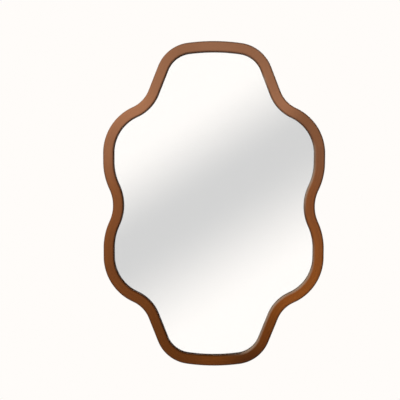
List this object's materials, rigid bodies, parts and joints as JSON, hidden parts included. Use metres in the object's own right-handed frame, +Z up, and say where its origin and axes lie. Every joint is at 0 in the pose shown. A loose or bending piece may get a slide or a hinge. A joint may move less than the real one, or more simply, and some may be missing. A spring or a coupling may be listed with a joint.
{
  "type": "framed wall mirror",
  "caption": "Upright wall mirror with a wavy outline: slim rounded wooden frame, flat glass, backboard held by turn buttons, and ring hangers behind.",
  "frame": {"origin": "middle of the outline in the plane of the wall, which the four rubber bumpers touch", "axes": "+Z up along the height, +X to the right of a person facing the mirror, +Y from the mirror into the wall"},
  "size_m": [0.611, 0.028, 0.9],
  "materials": {
    "walnut_stained_wood": "red-brown stain under satin lacquer",
    "dowel_wood": "plain beech",
    "backboard_fibre": "smooth hardboard",
    "foam": "closed-cell foam sheet",
    "silvering": "silver coat with painted back",
    "mirror_glass": "polished float glass",
    "pad_rubber": "matte",
    "zinc_steel": "bright zinc plate",
    "screw_steel": "zinc plate",
    "bumper_rubber": "matte"
  },
  "bodies": {
    "frame": {"frame_top": "walnut_stained_wood", "frame_bottom": "walnut_stained_wood", "frame_upper_left": "walnut_stained_wood", "frame_side_left": "walnut_stained_wood", "frame_lower_left": "walnut_stained_wood", "frame_upper_right": "walnut_stained_wood", "frame_side_right": "walnut_stained_wood", "frame_lower_right": "walnut_stained_wood", "joint_dowels": "dowel_wood", "backboard": "backboard_fibre", "backing_foam": "foam", "mirror_silvering": "silvering", "mirror_glass": "mirror_glass", "glass_pads": "pad_rubber", "button_screws": "screw_steel", "hanger_screws": "screw_steel", "hanger_strap_left": "zinc_steel", "hanger_strap_right": "zinc_steel", "wall_bumper_upper_left": "bumper_rubber", "wall_bumper_upper_right": "bumper_rubber", "wall_bumper_lower_left": "bumper_rubber", "wall_bumper_lower_right": "bumper_rubber"},
    "turn_button_top": {"turn_button_top": "zinc_steel"},
    "turn_button_upper_right": {"turn_button_upper_right": "zinc_steel"},
    "turn_button_right": {"turn_button_right": "zinc_steel"},
    "turn_button_lower_right": {"turn_button_lower_right": "zinc_steel"},
    "turn_button_bottom": {"turn_button_bottom": "zinc_steel"},
    "turn_button_lower_left": {"turn_button_lower_left": "zinc_steel"},
    "turn_button_left": {"turn_button_left": "zinc_steel"},
    "turn_button_upper_left": {"turn_button_upper_left": "zinc_steel"},
    "hanger_ring_left": {"hanger_ring_left": "zinc_steel"},
    "hanger_ring_right": {"hanger_ring_right": "zinc_steel"}
  },
  "joints": [
    {"name": "button_top_swivel", "type": "hinge", "parent": "frame", "child": "turn_button_top", "pos_m": [0, -0.0054, 0.438], "axis": [0, 1, 0], "continuous": true},
    {"name": "button_upper_right_swivel", "type": "hinge", "parent": "frame", "child": "turn_button_upper_right", "pos_m": [0.18896, -0.0054, 0.28052], "axis": [0, 1, 0], "continuous": true},
    {"name": "button_right_swivel", "type": "hinge", "parent": "frame", "child": "turn_button_right", "pos_m": [0.267, -0.0054, 0], "axis": [0, 1, 0], "continuous": true},
    {"name": "button_lower_right_swivel", "type": "hinge", "parent": "frame", "child": "turn_button_lower_right", "pos_m": [0.18896, -0.0054, -0.28052], "axis": [0, 1, 0], "continuous": true},
    {"name": "button_bottom_swivel", "type": "hinge", "parent": "frame", "child": "turn_button_bottom", "pos_m": [0, -0.0054, -0.438], "axis": [0, 1, 0], "continuous": true},
    {"name": "button_lower_left_swivel", "type": "hinge", "parent": "frame", "child": "turn_button_lower_left", "pos_m": [-0.18896, -0.0054, -0.28052], "axis": [0, 1, 0], "continuous": true},
    {"name": "button_left_swivel", "type": "hinge", "parent": "frame", "child": "turn_button_left", "pos_m": [-0.267, -0.0054, 0], "axis": [0, 1, 0], "continuous": true},
    {"name": "button_upper_left_swivel", "type": "hinge", "parent": "frame", "child": "turn_button_upper_left", "pos_m": [-0.18896, -0.0054, 0.28052], "axis": [0, 1, 0], "continuous": true},
    {"name": "ring_left_swing", "type": "hinge", "parent": "frame", "child": "hanger_ring_left", "pos_m": [-0.292, -0.0035, 0.14], "axis": [1, 0, 0], "range_deg": [0, 180]},
    {"name": "ring_right_swing", "type": "hinge", "parent": "frame", "child": "hanger_ring_right", "pos_m": [0.292, -0.0035, 0.14], "axis": [1, 0, 0], "range_deg": [0, 180]}
  ]
}
